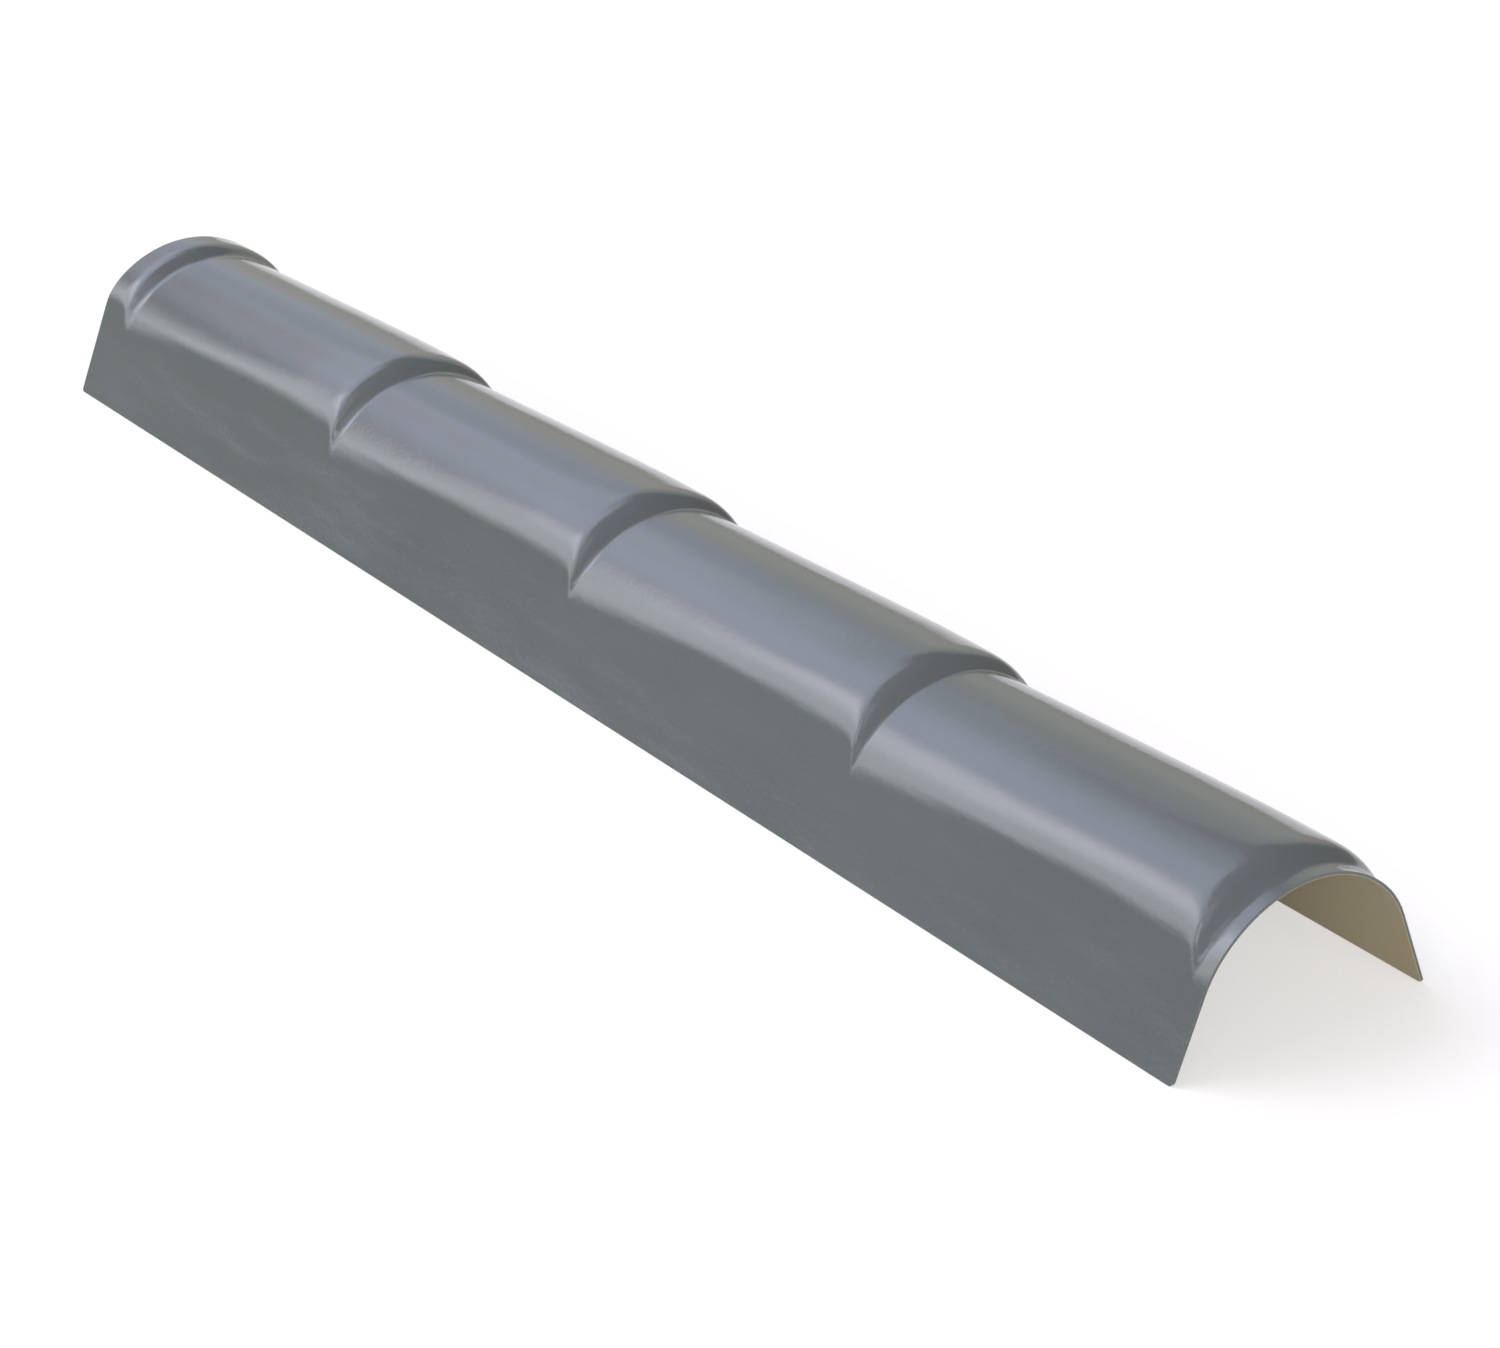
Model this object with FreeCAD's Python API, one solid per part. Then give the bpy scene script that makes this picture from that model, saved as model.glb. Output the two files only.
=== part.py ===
"""Roof ridge cap: one moulded sheet in the shape of overlapping half-round ridge tiles.

Frame: X runs along the ridge, from the tail end to the mouth end; Y runs across it; Z is up.
Origin: the middle of the footprint, at the level of the two foot edges. Millimetres.

The outside is a row of tapered barrels turned about one level axis. Each barrel ends in a rounded nose
that drops into a crease, where the next barrel starts. Two sloping flanks cut the barrels at the sides
and carry the cap down to its feet, with a rounded shoulder where the barrels stand widest. The inside is
the same form, one wall thickness further in.
"""

import FreeCAD
import Part

import math
import os

# Section across the ridge
FOOT_WIDTH = 221.0        # over the outside of both feet
FLANK_ANGLE = 68.3        # degrees, flank above level
NARROW_RADIUS = 98.2      # barrel radius at a crease
FLANK_BITE = 1.1          # how far a flank cuts into the barrel at a crease
SHOULDER_RADIUS = 70.0    # rounding from a flank into the wide end of a barrel
WALL = 2.5                # sheet thickness

# Row of tiles along the ridge
TILE_COUNT = 4            # whole tiles between the tail stub and the mouth lip
TILE_PITCH = 350.0        # crease to crease
TILE_RISE = 11.5          # how far the wide end of a tile stands above its crease
TAIL_STUB = 42.0          # cut end of a tile, from the tail to the first crease
MOUTH_LIP = 14.0          # start of a tile left standing past the last crease
LAP_CLEARANCE = 1.5       # room for the next cap's mouth where it laps over the tail stub

# Rounded nose of each tile
NOSE_RADIUS = 20.0        # convex turn from the barrel into the nose
NOSE_ANGLE = 45.0         # degrees, slope of the nose
CREASE_RADIUS = 4.0       # concave turn from the nose into the next barrel
LIP_TURN_RADIUS = 13.0    # the same turn at the mouth, into the lip

# Trimmed ends
FOOT_CORNER_RADIUS = 3.0

LENGTH = TAIL_STUB + TILE_COUNT * TILE_PITCH + MOUTH_LIP
TAIL_X = -LENGTH / 2
MOUTH_X = LENGTH / 2
FIRST_CREASE_X = TAIL_X + TAIL_STUB

FLANK = math.radians(FLANK_ANGLE)
FLANK_REACH = NARROW_RADIUS - FLANK_BITE
AXIS_HEIGHT = (FOOT_WIDTH / 2 * math.sin(FLANK) - FLANK_REACH) / math.cos(FLANK)

WIDE_RADIUS = NARROW_RADIUS + TILE_RISE
SHOULDER_REACH = WIDE_RADIUS - SHOULDER_RADIUS
SHOULDER_TURN = math.acos((FLANK_REACH - SHOULDER_RADIUS) / SHOULDER_REACH)
SHOULDER_LEAN = FLANK - SHOULDER_TURN
SHOULDER_Y = SHOULDER_REACH * math.sin(SHOULDER_LEAN)
SHOULDER_Z = AXIS_HEIGHT + SHOULDER_REACH * math.cos(SHOULDER_LEAN)

NOSE_RUN = TILE_RISE / math.tan(math.radians(NOSE_ANGLE))
TILE_SLOPE = TILE_RISE / (TILE_PITCH - NOSE_RUN)
TAIL_RISE = TILE_RISE - WALL - LAP_CLEARANCE
TAIL_NOSE_RUN = TAIL_RISE / math.tan(math.radians(NOSE_ANGLE))

X_AXIS = FreeCAD.Vector(1, 0, 0)
TURNING_AXIS = FreeCAD.Vector(0, 0, AXIS_HEIGHT)


def crown_corners(overrun):
    """Corners of the outside crown line before rounding: (x, radius, rounding), tail to mouth."""
    stub_drop = TILE_SLOPE * (TAIL_STUB - TAIL_NOSE_RUN + overrun)
    corners = [
        (TAIL_X - overrun, NARROW_RADIUS + TAIL_RISE - stub_drop, 0.0),
        (FIRST_CREASE_X - TAIL_NOSE_RUN, NARROW_RADIUS + TAIL_RISE, NOSE_RADIUS),
        (FIRST_CREASE_X, NARROW_RADIUS, CREASE_RADIUS),
    ]
    for tile in range(1, TILE_COUNT + 1):
        crease_x = FIRST_CREASE_X + tile * TILE_PITCH
        corners.append((crease_x - NOSE_RUN, WIDE_RADIUS, NOSE_RADIUS))
        at_mouth = tile == TILE_COUNT
        corners.append((crease_x, NARROW_RADIUS, LIP_TURN_RADIUS if at_mouth else CREASE_RADIUS))
    lip_rise = TILE_SLOPE * (MOUTH_LIP + overrun)
    corners.append((MOUTH_X + overrun, NARROW_RADIUS + lip_rise, 0.0))
    return corners


def moved_in(corners, depth):
    """The same corners with every straight run moved towards the axis by depth."""
    runs = []
    for (x1, r1, _), (x2, r2, _) in zip(corners, corners[1:]):
        runs.append((math.atan2(r2 - r1, x2 - x1), x1, r1))
    first_x, first_r, _ = corners[0]
    moved = [(first_x, first_r - depth / math.cos(runs[0][0]), 0.0)]
    for (angle1, _, _), (angle2, x, r), (_, _, rounding) in zip(runs, runs[1:], corners[1:]):
        middle = (angle1 + angle2) / 2
        reach = depth / math.cos((angle2 - angle1) / 2)
        convex = angle2 < angle1
        inner_rounding = rounding - depth if convex else rounding + depth
        moved.append((x + reach * math.sin(middle), r - reach * math.cos(middle), inner_rounding))
    last_x, last_r, _ = corners[-1]
    moved.append((last_x, last_r - depth / math.cos(runs[-1][0]), 0.0))
    return moved


def rounded_line(corners):
    """Edges of a crown line through the corners, each rounded by an arc, in the XZ plane."""
    points = [FreeCAD.Vector(x, 0, AXIS_HEIGHT + r) for x, r, _ in corners]
    edges = []
    start = points[0]
    for before, corner, after, (_, _, rounding) in zip(points, points[1:], points[2:], corners[1:]):
        into = (corner - before).normalize()
        out_of = (after - corner).normalize()
        turn = into.getAngle(out_of)
        setback = rounding * math.tan(turn / 2)
        sagitta = rounding * (1 / math.cos(turn / 2) - 1)
        arc_start = corner - into * setback
        arc_end = corner + out_of * setback
        arc_middle = corner + (out_of - into).normalize() * sagitta
        edges.append(Part.LineSegment(start, arc_start).toShape())
        edges.append(Part.Arc(arc_start, arc_middle, arc_end).toShape())
        start = arc_end
    edges.append(Part.LineSegment(start, points[-1]).toShape())
    return edges


def barrel_row(corners):
    """Solid turned from a crown line about the level axis."""
    crown = rounded_line(corners)
    tail_axis = FreeCAD.Vector(corners[0][0], 0, AXIS_HEIGHT)
    mouth_axis = FreeCAD.Vector(corners[-1][0], 0, AXIS_HEIGHT)
    tail_edge = Part.LineSegment(tail_axis, crown[0].Vertexes[0].Point).toShape()
    mouth_edge = Part.LineSegment(crown[-1].Vertexes[-1].Point, mouth_axis).toShape()
    axis_edge = Part.LineSegment(mouth_axis, tail_axis).toShape()
    outline = Part.Wire([tail_edge] + crown + [mouth_edge, axis_edge])
    return Part.Face(outline).revolve(TURNING_AXIS, X_AXIS, 360)


def flanks(depth, start_x, end_x, floor):
    """Solid between the two flanks, with rounded shoulders, closed above by two slopes over the crown."""
    radius = SHOULDER_RADIUS - depth
    section = []
    for lean in (FLANK, FLANK - SHOULDER_TURN / 2, SHOULDER_LEAN):
        section.append((SHOULDER_Y + radius * math.sin(lean), SHOULDER_Z + radius * math.cos(lean)))
    flank_y, flank_z = section[0]
    section.insert(0, (flank_y + (flank_z - floor) / math.tan(FLANK), floor))
    right = [FreeCAD.Vector(start_x, y, z) for y, z in section]
    left = [FreeCAD.Vector(start_x, -y, z) for y, z in section]
    top = FreeCAD.Vector(start_x, 0, AXIS_HEIGHT + (WIDE_RADIUS - depth) / math.cos(SHOULDER_LEAN))
    outline = [
        Part.LineSegment(left[0], right[0]),
        Part.LineSegment(right[0], right[1]),
        Part.Arc(right[1], right[2], right[3]),
        Part.LineSegment(right[3], top),
        Part.LineSegment(top, left[3]),
        Part.Arc(left[3], left[2], left[1]),
        Part.LineSegment(left[1], left[0]),
    ]
    face = Part.Face(Part.Wire([curve.toShape() for curve in outline]))
    return face.extrude(X_AXIS * (end_x - start_x))


def cap_form(depth, overrun):
    """Solid bounded by the cap's outside, moved in by depth and run past both ends by overrun."""
    start_x = TAIL_X - overrun
    end_x = MOUTH_X + overrun
    leg_top = AXIS_HEIGHT + (FLANK_REACH - depth) * math.cos(FLANK)
    corner = FreeCAD.Vector(start_x, -FOOT_WIDTH, -overrun)
    legs = Part.makeBox(end_x - start_x, 2 * FOOT_WIDTH, leg_top + overrun, corner)
    barrels = barrel_row(moved_in(crown_corners(overrun), depth))
    return flanks(depth, start_x, end_x, -overrun).common(barrels.fuse(legs))


def foot_corners(cap):
    """The short edges where the two feet meet the two trimmed ends."""
    found = []
    for edge in cap.Edges:
        box = edge.BoundBox
        at_end = abs(abs(box.Center.x) - LENGTH / 2) < WALL / 10 and box.XLength < WALL / 10
        on_floor = box.ZMax < WALL / 10
        if at_end and on_floor:
            found.append(edge)
    return found


outside = cap_form(0.0, 0.0)
inside = cap_form(WALL, 2 * WALL)
cap = outside.cut(inside).removeSplitter()
cap = cap.makeFillet(FOOT_CORNER_RADIUS, foot_corners(cap))

os.makedirs("parts", exist_ok=True)
cap.Solids[0].exportStep("parts/ridge_cap.step")

bounds = cap.optimalBoundingBox()
print("solids", len(cap.Solids), "valid", cap.isValid(), "faces", len(cap.Faces))
print("size", bounds.XLength, bounds.YLength, bounds.ZLength, "volume", cap.Volume)
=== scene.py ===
import math

import bpy
from mathutils import Euler, Matrix, Vector


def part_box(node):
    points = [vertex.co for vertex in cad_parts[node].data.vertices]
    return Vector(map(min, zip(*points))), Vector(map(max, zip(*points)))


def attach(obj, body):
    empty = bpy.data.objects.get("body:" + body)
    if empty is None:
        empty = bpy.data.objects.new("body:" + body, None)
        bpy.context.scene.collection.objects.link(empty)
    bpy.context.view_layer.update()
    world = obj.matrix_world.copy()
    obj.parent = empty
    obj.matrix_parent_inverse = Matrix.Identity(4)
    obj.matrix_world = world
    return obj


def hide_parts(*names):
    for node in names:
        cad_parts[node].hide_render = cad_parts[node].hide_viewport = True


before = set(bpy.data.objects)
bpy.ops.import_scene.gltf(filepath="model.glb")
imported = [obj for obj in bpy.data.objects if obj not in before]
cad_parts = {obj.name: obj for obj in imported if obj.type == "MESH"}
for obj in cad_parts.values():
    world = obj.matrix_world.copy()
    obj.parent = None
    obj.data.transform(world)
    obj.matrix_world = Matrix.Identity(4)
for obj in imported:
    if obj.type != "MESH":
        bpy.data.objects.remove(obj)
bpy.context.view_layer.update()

# The cap: one long moulded sheet of plastic, semi-gloss grey on its weather face and cream on its back.
# Geometry Nodes bend a fine block into a row of lapped half-round ridge tiles between two flanks. The sheet
# is trimmed square at both ends and along both feet, so the cream shows as a fine pale line in each cut edge.
cap_low, cap_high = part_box("ridge_cap")
CAP_SIZES = {
    "Length": cap_high[0] - cap_low[0],
    "Foot Width": cap_high[1] - cap_low[1],
    "Flank Angle": math.radians(68.3),
    "Narrow Radius": 0.0982,
    "Flank Bite": 0.0011,
    "Shoulder Radius": 0.070,
    "Wall": 0.0025,
    "Grey Layer": 0.0021,
    "Tile Pitch": 0.350,
    "Tile Rise": 0.0115,
    "Tail Stub": 0.042,
    "Tail Set Down": 0.004,
    "Nose Slope": 1.0,
    "Nose Softness": 0.0175,
    "Crease Softness": 0.0028,
    "Lip Softness": 0.0075,
    "Shoulder Softness": 0.0055,
    "Shoulder Fade": math.radians(15),
    "Nose Side Softness": 0.0065,
    "Nose Side Fade": math.radians(25),
    "Nose Side Reach": 0.080,
    "Foot Corner": 0.003,
}
CAP_STATIONS = 321
CAP_POINTS_ACROSS = 131
CROWN_SHARE = 0.8                # share of the points across that lie above the two flanks
POINT_CROWDING = 0.5             # how strongly the points crowd towards the flanks; 0 is even
STATION_CROWDING = 0.85          # how strongly the stations crowd towards each nose; 0 is even
CROWDED_BEFORE_CREASE = 0.009
CORNER_BLEND = 4.0               # corner radii over which the stations follow a rounded foot corner
CUT_EDGE_ROUNDING = 0.0003
CUT_EDGE_ANGLE = math.radians(50)


class Field:
    """A value that a node tree works out point by point, so that a shape's rule reads as arithmetic."""

    def __init__(self, tree, socket):
        self.tree = tree
        self.socket = socket

    def worked(self, operation, *others):
        node = self.tree.nodes.new("ShaderNodeMath")
        node.operation = operation
        for place, value in zip(node.inputs, (self, *others)):
            if isinstance(value, Field):
                self.tree.links.new(value.socket, place)
            else:
                place.default_value = value
        return Field(self.tree, node.outputs[0])

    def __add__(self, other):
        return self.worked("ADD", other)

    def __radd__(self, other):
        return self.worked("ADD", other)

    def __sub__(self, other):
        return self.worked("SUBTRACT", other)

    def __rsub__(self, other):
        return self.worked("MULTIPLY", -1.0) + other

    def __mul__(self, other):
        return self.worked("MULTIPLY", other)

    def __rmul__(self, other):
        return self.worked("MULTIPLY", other)

    def __truediv__(self, other):
        return self.worked("DIVIDE", other)

    def between(self, lowest, highest):
        return self.worked("MAXIMUM", lowest).worked("MINIMUM", highest)


def cap_tree(weather_face, back_face):
    """Geometry Nodes that bend a fine block of vertices into the cap: x along it, y across, z through it."""
    tree = bpy.data.node_groups.new("ridge_cap_form", "GeometryNodeTree")
    for name, value in CAP_SIZES.items():
        tree.interface.new_socket(name, in_out="INPUT", socket_type="NodeSocketFloat").default_value = value
    tree.interface.new_socket("Geometry", in_out="OUTPUT", socket_type="NodeSocketGeometry")
    nodes, links = tree.nodes, tree.links
    sizes = nodes.new("NodeGroupInput")
    size = {name: Field(tree, sizes.outputs[name]) for name in CAP_SIZES}

    block = nodes.new("GeometryNodeMeshCube")
    block.inputs["Size"].default_value = (2, 2, 2)
    block.inputs["Vertices X"].default_value = CAP_STATIONS
    block.inputs["Vertices Y"].default_value = CAP_POINTS_ACROSS
    block.inputs["Vertices Z"].default_value = 3
    place = nodes.new("GeometryNodeInputPosition")
    kept_place = nodes.new("GeometryNodeCaptureAttribute")
    kept_place.capture_items.new("VECTOR", "Place in Block")
    links.new(block.outputs["Mesh"], kept_place.inputs["Geometry"])
    links.new(place.outputs[0], kept_place.inputs["Place in Block"])
    split = nodes.new("ShaderNodeSeparateXYZ")
    links.new(kept_place.outputs["Place in Block"], split.inputs[0])
    along, across, through = [Field(tree, socket) for socket in split.outputs]

    # Depth below the weather face: nothing on top, the grey layer next, the whole wall at the back
    top = through.worked("MAXIMUM", 0.0)
    back = (through * -1.0).worked("MAXIMUM", 0.0)
    depth = (1.0 - top) * size["Grey Layer"] + back * (size["Wall"] - size["Grey Layer"])

    # Stations along the cap stand close together at each nose and crease
    first_crease = size["Tail Stub"] - size["Length"] / 2.0
    even = along * size["Length"] / 2.0
    phase = (even - first_crease + CROWDED_BEFORE_CREASE) / size["Tile Pitch"] * math.tau
    station = even - phase.worked("SINE") * size["Tile Pitch"] * (STATION_CROWDING / math.tau)
    end_phase = (size["Length"] / 2.0 - first_crease + CROWDED_BEFORE_CREASE) / size["Tile Pitch"] * math.tau
    end_shift = end_phase.worked("SINE") * size["Tile Pitch"] * (STATION_CROWDING / math.tau)
    start_phase = (size["Tail Stub"] * -1.0 + CROWDED_BEFORE_CREASE) / size["Tile Pitch"] * math.tau
    start_shift = start_phase.worked("SINE") * size["Tile Pitch"] * (STATION_CROWDING / math.tau)
    x = station + start_shift * (1.0 - along) / 2.0 + end_shift * (1.0 + along) / 2.0

    # Crown line: each tile rises to its nose, drops, and meets the start of the next tile in a crease
    tile = ((x - first_crease) / size["Tile Pitch"]).worked("FLOOR")
    run = x - first_crease - tile * size["Tile Pitch"]
    left = size["Tile Pitch"] - run
    slope = size["Tile Rise"] / (size["Tile Pitch"] - size["Tile Rise"] / size["Nose Slope"])
    on_tail = tile.worked("LESS_THAN", -0.5)
    set_down = on_tail * size["Tail Set Down"] * (slope / size["Nose Slope"] + 1.0)
    barrel_depth = depth * (slope * slope + 1.0).worked("SQRT")
    nose_depth = depth * (size["Nose Slope"] * size["Nose Slope"] + 1.0).worked("SQRT")
    barrel = slope * run - set_down - barrel_depth
    nose = size["Nose Slope"] * left - nose_depth
    next_barrel = slope * left * -1.0 - barrel_depth
    last_nose = size["Nose Slope"] * run * -1.0 - nose_depth
    nose_softness = size["Nose Softness"] - depth
    at_mouth = x.worked("GREATER_THAN", size["Length"] / 2.0 - size["Tile Pitch"] / 2.0)
    crease_softness = size["Crease Softness"] + at_mouth * (size["Lip Softness"] - size["Crease Softness"])
    crease_softness = crease_softness + depth
    crown = barrel.worked("SMOOTH_MIN", nose, nose_softness)
    crown = crown.worked("SMOOTH_MAX", next_barrel, crease_softness)
    crown = crown.worked("SMOOTH_MAX", last_nose, crease_softness)
    barrel_radius = size["Narrow Radius"] + crown

    # Flank and shoulder, seen from the barrel's axis: a straight flank, an arc, and a slope over the crown
    flank = size["Flank Angle"]
    flank_sin, flank_cos = flank.worked("SINE"), flank.worked("COSINE")
    flank_tan = flank.worked("TANGENT")
    flank_reach = size["Narrow Radius"] - size["Flank Bite"]
    axis_height = (size["Foot Width"] / 2.0 * flank_sin - flank_reach) / flank_cos
    side = across.worked("SIGN")
    away = across.worked("ABSOLUTE")
    share = (away / CROWN_SHARE).between(0.0, 1.0)
    angle = flank * share * (1.0 + POINT_CROWDING - share * POINT_CROWDING)
    above_flank = flank - angle
    wide_radius = size["Narrow Radius"] + size["Tile Rise"]
    arc_reach = wide_radius - size["Shoulder Radius"]
    arc_turn = ((flank_reach - size["Shoulder Radius"]) / arc_reach).worked("ARCCOSINE")
    arc_start = (arc_reach * arc_turn.worked("SINE") / (flank_reach - depth)).worked("ARCTANGENT")
    from_turn = above_flank - arc_turn
    arc_radius = size["Shoulder Radius"] - depth
    arc_aside = arc_reach * from_turn.worked("SINE")
    arc_span = (arc_radius * arc_radius - arc_aside * arc_aside).worked("SQRT")
    to_flank = (flank_reach - depth) / above_flank.worked("COSINE")
    to_arc = arc_reach * from_turn.worked("COSINE") + arc_span
    to_slope = (wide_radius - depth) / from_turn.worked("COSINE")
    past_flank = above_flank.worked("GREATER_THAN", arc_start)
    past_arc = above_flank.worked("GREATER_THAN", arc_turn)
    to_side = to_flank + past_flank * (to_arc - to_flank) + past_arc * (to_slope - to_arc)

    # Section: the barrel about its level axis, held in by the flanks and shoulders
    near_nose = (1.0 - left / size["Nose Side Reach"]).between(0.0, 1.0)
    higher = ((above_flank - size["Shoulder Fade"]) / size["Nose Side Fade"]).between(0.0, 1.0)
    softness = size["Shoulder Softness"] * (above_flank / size["Shoulder Fade"]).between(0.0, 1.0)
    softness = softness + size["Nose Side Softness"] * near_nose * higher
    radius = barrel_radius.worked("SMOOTH_MIN", to_side, softness)
    down = 1.0 - ((away - CROWN_SHARE) / (1.0 - CROWN_SHARE)).between(0.0, 1.0)
    down = 1.0 - down * down
    flank_top = axis_height + (flank_reach - depth) * flank_cos
    y = side * (radius * angle.worked("SINE") + down * flank_top / flank_tan)
    z = axis_height + radius * angle.worked("COSINE") - down * flank_top

    # The four foot corners are rounded in the plane of the flank
    from_foot = (1.0 - down) * flank_top / flank_sin
    short_of = (size["Foot Corner"] - from_foot).worked("MAXIMUM", 0.0)
    kept = (size["Foot Corner"] * size["Foot Corner"] - short_of * short_of).worked("MAXIMUM", 0.0)
    cut_back = size["Foot Corner"] - kept.worked("SQRT")
    from_end = size["Length"] / 2.0 - x.worked("ABSOLUTE")
    near_end = (1.0 - from_end / (size["Foot Corner"] * CORNER_BLEND)).between(0.0, 1.0)
    x = x - x.worked("SIGN") * cut_back * near_end

    join = nodes.new("ShaderNodeCombineXYZ")
    for value, socket in zip((x, y, z), join.inputs):
        links.new(value.socket, socket)
    form = nodes.new("GeometryNodeSetPosition")
    links.new(kept_place.outputs["Geometry"], form.inputs["Geometry"])
    links.new(join.outputs[0], form.inputs["Position"])

    # The whole sheet is cream, then the grey layer's faces are given the weather face
    smooth = nodes.new("GeometryNodeSetShadeSmooth")
    links.new(form.outputs[0], smooth.inputs["Geometry"])
    whole = nodes.new("GeometryNodeRealizeInstances")
    links.new(smooth.outputs[0], whole.inputs[0])
    creamed = nodes.new("GeometryNodeSetMaterial")
    creamed.inputs["Material"].default_value = back_face
    links.new(whole.outputs[0], creamed.inputs["Geometry"])
    greyed = nodes.new("GeometryNodeSetMaterial")
    greyed.inputs["Material"].default_value = weather_face
    links.new(creamed.outputs[0], greyed.inputs["Geometry"])
    links.new(through.worked("GREATER_THAN", 0.1).socket, greyed.inputs["Selection"])
    result = nodes.new("NodeGroupOutput")
    links.new(greyed.outputs[0], result.inputs[0])
    return tree


def sheet_material(name):
    """A plastic with its own nodes, and the object coordinates that its patterns read."""
    material = bpy.data.materials.new(name)
    material.use_nodes = True
    nodes = material.node_tree.nodes
    place = nodes.new("ShaderNodeTexCoord")
    return material, nodes, material.node_tree.links, nodes["Principled BSDF"], place.outputs["Object"]


def noise(nodes, links, place, scale, detail):
    """Soft noise of that many cells to the metre, from 0 to 1."""
    node = nodes.new("ShaderNodeTexNoise")
    node.inputs["Scale"].default_value = scale
    node.inputs["Detail"].default_value = detail
    links.new(place, node.inputs["Vector"])
    return node.outputs["Fac"]


def ranged(nodes, links, fac, lowest, highest):
    """Turns a noise into values between a lowest and a highest."""
    node = nodes.new("ShaderNodeMapRange")
    node.inputs["To Min"].default_value = lowest
    node.inputs["To Max"].default_value = highest
    links.new(fac, node.inputs["Value"])
    return node.outputs["Result"]


def two_tones(nodes, links, fac, first, second):
    """A colour between two tones of one plastic."""
    node = nodes.new("ShaderNodeMix")
    node.data_type = "RGBA"
    node.inputs["A"].default_value = (*first, 1)
    node.inputs["B"].default_value = (*second, 1)
    links.new(fac, node.inputs["Factor"])
    return node.outputs["Result"]


def bumped(nodes, links, height, distance, under=None):
    """A surface raised by a height pattern, over another bump where one is given."""
    node = nodes.new("ShaderNodeBump")
    node.inputs["Strength"].default_value = 1.0
    node.inputs["Distance"].default_value = distance
    links.new(height, node.inputs["Height"])
    if under is not None:
        links.new(under, node.inputs["Normal"])
    return node.outputs["Normal"]


def weather_face_material():
    """Grey semi-gloss plastic with a faint orange peel and the slow ripple of a drawn sheet."""
    material, nodes, links, shader, place = sheet_material("weather_face")
    cloud = noise(nodes, links, place, scale=7.0, detail=3.0)
    grey = two_tones(nodes, links, cloud, (0.098, 0.112, 0.107), (0.118, 0.136, 0.130))
    links.new(grey, shader.inputs["Base Color"])
    links.new(ranged(nodes, links, cloud, 0.09, 0.15), shader.inputs["Roughness"])
    drawn = nodes.new("ShaderNodeVectorMath")
    drawn.operation = "MULTIPLY"
    drawn.inputs[1].default_value = (0.25, 1, 1)
    links.new(place, drawn.inputs[0])
    streaks = noise(nodes, links, drawn.outputs[0], scale=22.0, detail=2.0)
    grains = noise(nodes, links, place, scale=250.0, detail=2.0)
    ripple = bumped(nodes, links, streaks, distance=0.0009)
    peel = bumped(nodes, links, grains, distance=0.0001, under=ripple)
    links.new(peel, shader.inputs["Normal"])
    return material


def back_face_material():
    """Cream matt plastic, the uncoloured back of the sheet."""
    material, nodes, links, shader, place = sheet_material("back_face")
    cloud = noise(nodes, links, place, scale=9.0, detail=4.0)
    cream = two_tones(nodes, links, cloud, (0.375, 0.322, 0.185), (0.435, 0.375, 0.215))
    links.new(cream, shader.inputs["Base Color"])
    links.new(ranged(nodes, links, cloud, 0.42, 0.58), shader.inputs["Roughness"])
    grains = noise(nodes, links, place, scale=500.0, detail=2.0)
    links.new(bumped(nodes, links, grains, distance=0.00004), shader.inputs["Normal"])
    return material


weather_face = weather_face_material()
back_face = back_face_material()
cap = bpy.data.objects.new("ridge_cap_sheet", bpy.data.meshes.new("ridge_cap_sheet"))
bpy.context.collection.objects.link(cap)
former = cap.modifiers.new("form", "NODES")
former.node_group = cap_tree(weather_face, back_face)
for socket in former.node_group.interface.items_tree:
    if socket.in_out == "INPUT":
        former[socket.identifier] = CAP_SIZES[socket.name]
edges = cap.modifiers.new("cut_edges", "BEVEL")
edges.width = CUT_EDGE_ROUNDING
edges.segments = 2
edges.limit_method = "ANGLE"
edges.angle_limit = CUT_EDGE_ANGLE
edges.harden_normals = True
cap.data = bpy.data.meshes.new_from_object(cap.evaluated_get(bpy.context.evaluated_depsgraph_get()))
cap.modifiers.clear()
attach(cap, "root")
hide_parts("ridge_cap")

# The stage: a pale matt floor, one flat face that runs out of sight on all sides.
# Its paint glows a little, for the camera and in reflections only, so that it reads as white paper.
FLOOR_REACH = 30.0
FLOOR_GAP = 0.0002
FLOOR_LIFT = 0.55
floor_mesh = bpy.data.meshes.new("floor")
floor_mesh.from_pydata(
    [(x * FLOOR_REACH, y * FLOOR_REACH, -FLOOR_GAP) for x, y in ((-1, -1), (1, -1), (1, 1), (-1, 1))],
    [], [(0, 1, 2, 3)],
)
floor = bpy.data.objects.new("floor", floor_mesh)
bpy.context.collection.objects.link(floor)
floor_paint = bpy.data.materials.new("pale_floor")
floor_paint.use_nodes = True
floor_shader = floor_paint.node_tree.nodes["Principled BSDF"]
floor_shader.inputs["Base Color"].default_value = (0.53, 0.51, 0.475, 1)
floor_shader.inputs["Roughness"].default_value = 0.9
floor_shader.inputs["Emission Color"].default_value = (1, 1, 1, 1)
ray = floor_paint.node_tree.nodes.new("ShaderNodeLightPath")
seeing_rays = [ray.outputs["Is " + kind + " Ray"] for kind in ("Camera", "Glossy", "Transmission")]
seen = sum(Field(floor_paint.node_tree, socket) for socket in seeing_rays)
floor_paint.node_tree.links.new((seen * FLOOR_LIFT).socket, floor_shader.inputs["Emission Strength"])
floor_mesh.materials.append(floor_paint)

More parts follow.
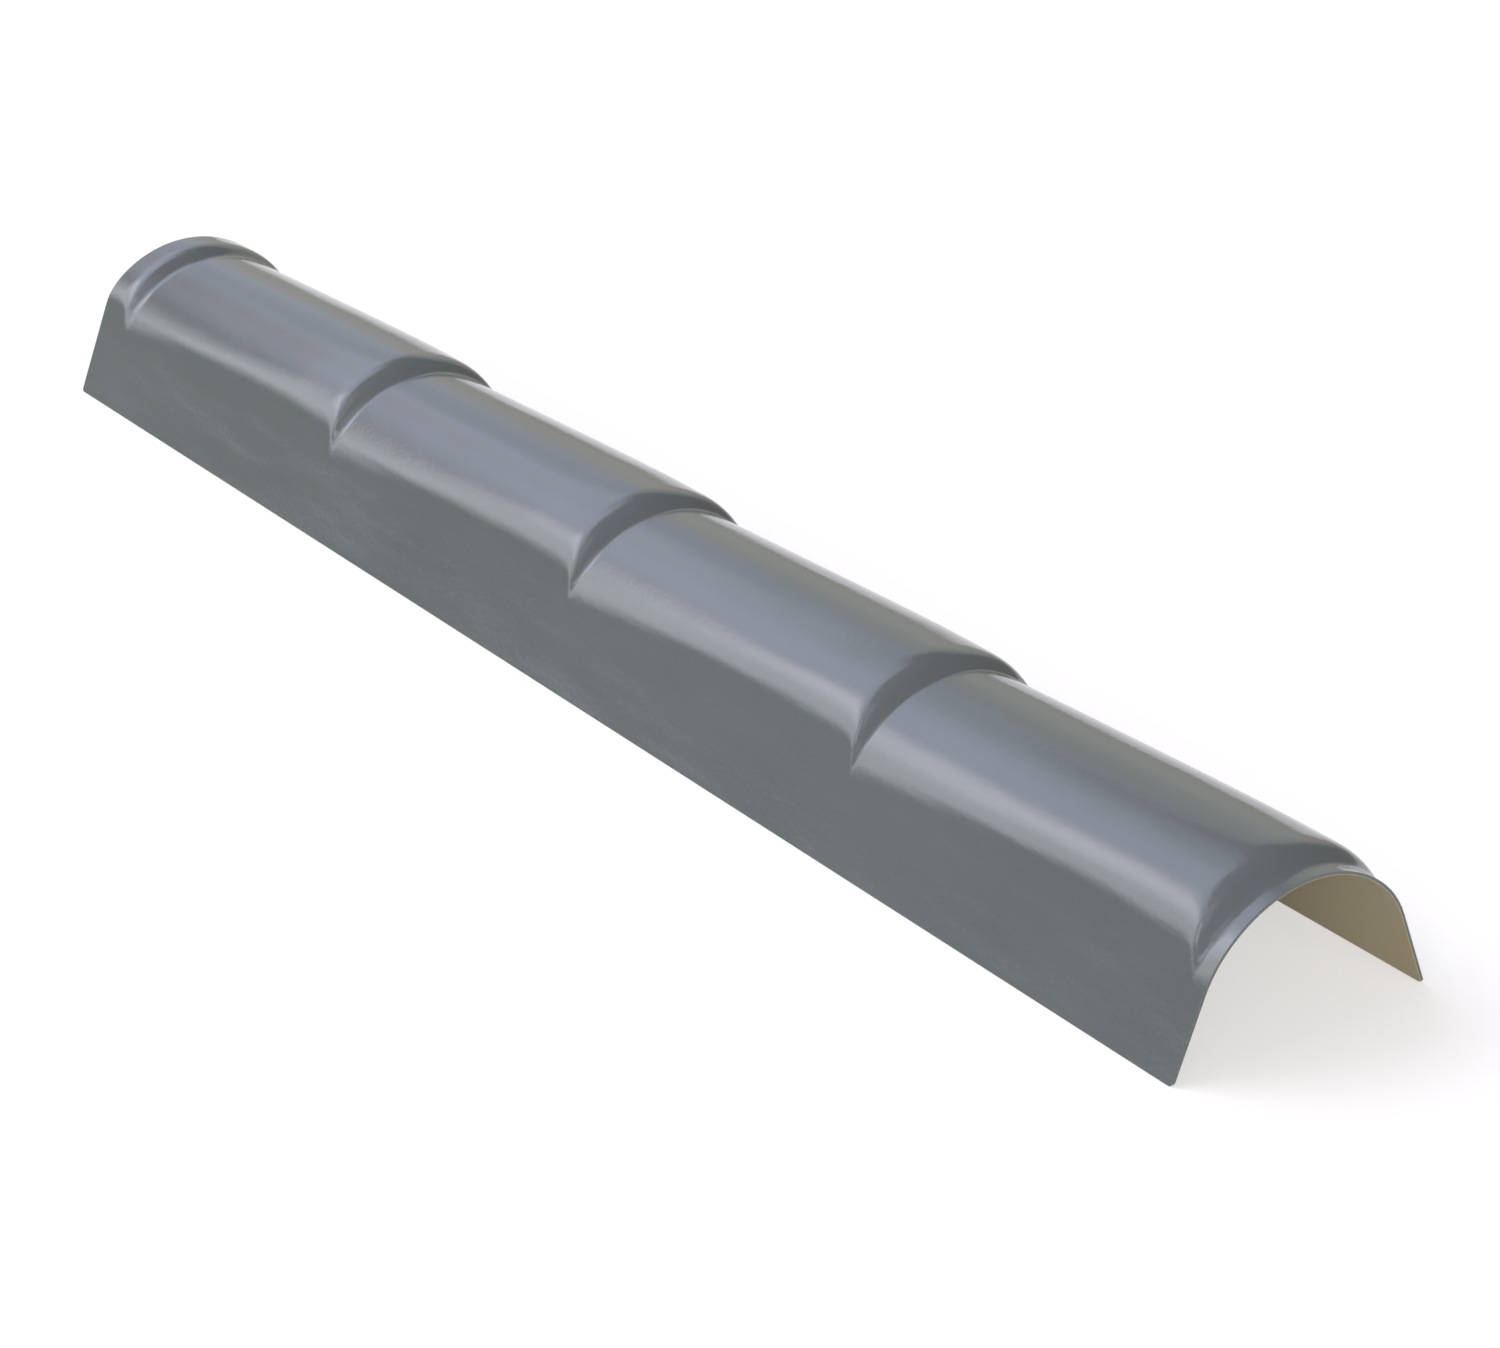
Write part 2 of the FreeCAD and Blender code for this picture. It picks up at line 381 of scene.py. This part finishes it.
# The light: a glow from all round, and soft patches of brighter light set in it like studio screens.
# Each patch: heading in degrees, half widths (full, gone), heights (none, full, full, none), tone, strength.
GLOW_LOW = (0.32, 0.29, 0.26)
GLOW_HIGH = (0.26, 0.26, 0.28)
GLOW_TURN = (0.2, 0.9)
LIGHT_PATCHES = {
    "key": (225, (14, 32), (7, 20, 38, 52), (0.96, 0.95, 1.01), 3.3),
    "side": (268, (16, 30), (42, 50, 66, 78), (0.75, 0.75, 1.0), 0.9),
    "upper": (204, (4, 57), (24, 39, 54, 66), (0.71, 0.75, 1.0), 3.05),
    "blue": (158, (6, 14), (10, 18, 32, 42), (0.15, 0.35, 1.0), 0.5),
    "warm": (141, (21, 36), (-10, 18, 36, 41), (1.0, 1.0, 0.9), 0.6),
    "fill": (335, (35, 55), (-5, 0, 20, 39), (0.98, 0.97, 1.05), 3.2),
    "glint": (262, (4, 8), (26, 30, 44, 50), (1.0, 1.0, 1.0), 3.0),
}
world = bpy.data.worlds.new("studio")
world.use_nodes = True
sky_nodes, sky_links = world.node_tree.nodes, world.node_tree.links
heading = sky_nodes.new("ShaderNodeTexCoord").outputs["Object"]
split_heading = sky_nodes.new("ShaderNodeSeparateXYZ")
sky_links.new(heading, split_heading.inputs[0])
height = Field(world.node_tree, split_heading.outputs["Z"])
level = (1.0 - height * height).worked("MAXIMUM", 0.0001).worked("SQRT")


def eased(field, start, end):
    """A smooth step of the world's nodes, from 0 at one value to 1 at another."""
    node = sky_nodes.new("ShaderNodeMapRange")
    node.interpolation_type = "SMOOTHSTEP"
    node.inputs["From Min"].default_value = start
    node.inputs["From Max"].default_value = end
    sky_links.new(field.socket, node.inputs["Value"])
    return Field(world.node_tree, node.outputs["Result"])


glow_tone = sky_nodes.new("ShaderNodeMix")
glow_tone.data_type = "RGBA"
glow_tone.inputs["A"].default_value = (*GLOW_LOW, 1)
glow_tone.inputs["B"].default_value = (*GLOW_HIGH, 1)
sky_links.new(eased(height, *GLOW_TURN).socket, glow_tone.inputs["Factor"])
sky_links.new(glow_tone.outputs["Result"], sky_nodes["Background"].inputs["Color"])
light = sky_nodes["Background"].outputs[0]
for azimuth, widths, heights, tone, strength in LIGHT_PATCHES.values():
    toward = sky_nodes.new("ShaderNodeVectorMath")
    toward.operation = "DOT_PRODUCT"
    toward.inputs[1].default_value = (math.cos(math.radians(azimuth)), math.sin(math.radians(azimuth)), 0)
    sky_links.new(heading, toward.inputs[0])
    aside = Field(world.node_tree, toward.outputs["Value"]) / level
    full, gone = [math.cos(math.radians(width)) for width in widths]
    none, low, high, over = [math.sin(math.radians(elevation)) for elevation in heights]
    amount = eased(aside, gone, full) * eased(height, none, low) * (1.0 - eased(height, high, over))
    screen = sky_nodes.new("ShaderNodeBackground")
    screen.inputs["Color"].default_value = (*tone, 1)
    sky_links.new((amount * strength).socket, screen.inputs["Strength"])
    added = sky_nodes.new("ShaderNodeAddShader")
    sky_links.new(light, added.inputs[0])
    sky_links.new(screen.outputs[0], added.inputs[1])
    light = added.outputs[0]
sky_links.new(light, sky_nodes["World Output"].inputs["Surface"])
bpy.context.scene.world = world

# The camera: at the photograph's angle, looking down along the cap from beyond its mouth end.
# Its angles, distance and lens were fitted to the cap's outline in the photograph.
CAMERA_AZIMUTH = math.radians(53.91)
CAMERA_ELEVATION = math.radians(25.96)
CAMERA_ROLL = math.radians(-0.19)
CAMERA_DISTANCE = 3.065
CAMERA_TARGET = Vector((0.0717, 0.0424, -0.0124))
CAMERA_LENS = 95.8
camera_data = bpy.data.cameras.new("camera")
camera_data.lens = CAMERA_LENS
camera = bpy.data.objects.new("camera", camera_data)
turned = Euler((math.pi / 2 - CAMERA_ELEVATION, 0, CAMERA_AZIMUTH)).to_matrix().to_4x4()
turned = turned @ Matrix.Rotation(CAMERA_ROLL, 4, "Z")
camera.matrix_world = Matrix.Translation(CAMERA_TARGET + turned.col[2].xyz * CAMERA_DISTANCE) @ turned
bpy.context.collection.objects.link(camera)
bpy.context.scene.camera = camera
bpy.context.scene.view_settings.view_transform = "Standard"
